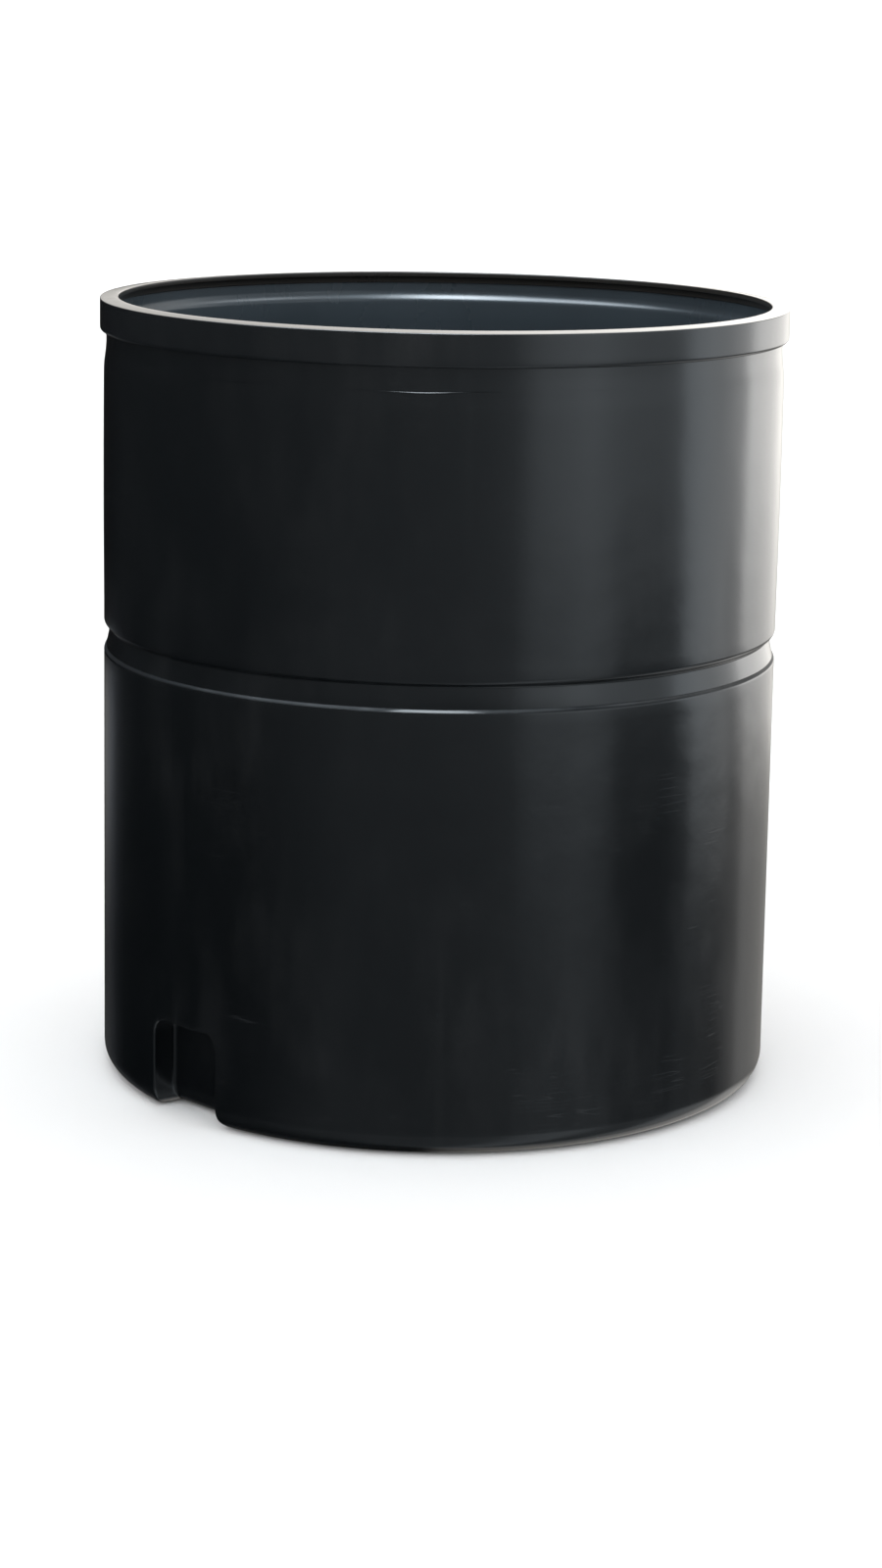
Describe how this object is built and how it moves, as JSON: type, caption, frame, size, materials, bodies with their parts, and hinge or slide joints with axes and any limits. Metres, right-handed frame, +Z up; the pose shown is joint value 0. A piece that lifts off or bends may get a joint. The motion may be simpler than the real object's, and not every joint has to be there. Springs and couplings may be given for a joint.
{
  "type": "open-top chemical drum",
  "caption": "Straight-sided open-top plastic chemical drum with a capping hoop round the mouth, a mid-height stiffening groove and an outlet recess at the foot.",
  "frame": {"origin": "centre of the drum's underside, on the floor it stands on", "axes": "+Z up along the drum's axis and out of its mouth; -Y points out of the outlet recess at the foot"},
  "size_m": [0.9509, 0.951, 1.085],
  "materials": {
    "shell_plastic": "black rotationally moulded polyethylene, semi-gloss with handling scuffs",
    "hoop_plastic": "black moulded polyethylene, polished on its rounded top edge"
  },
  "bodies": {
    "root": {"drum_shell": "shell_plastic", "rim_hoop": "hoop_plastic"}
  },
  "joints": []
}
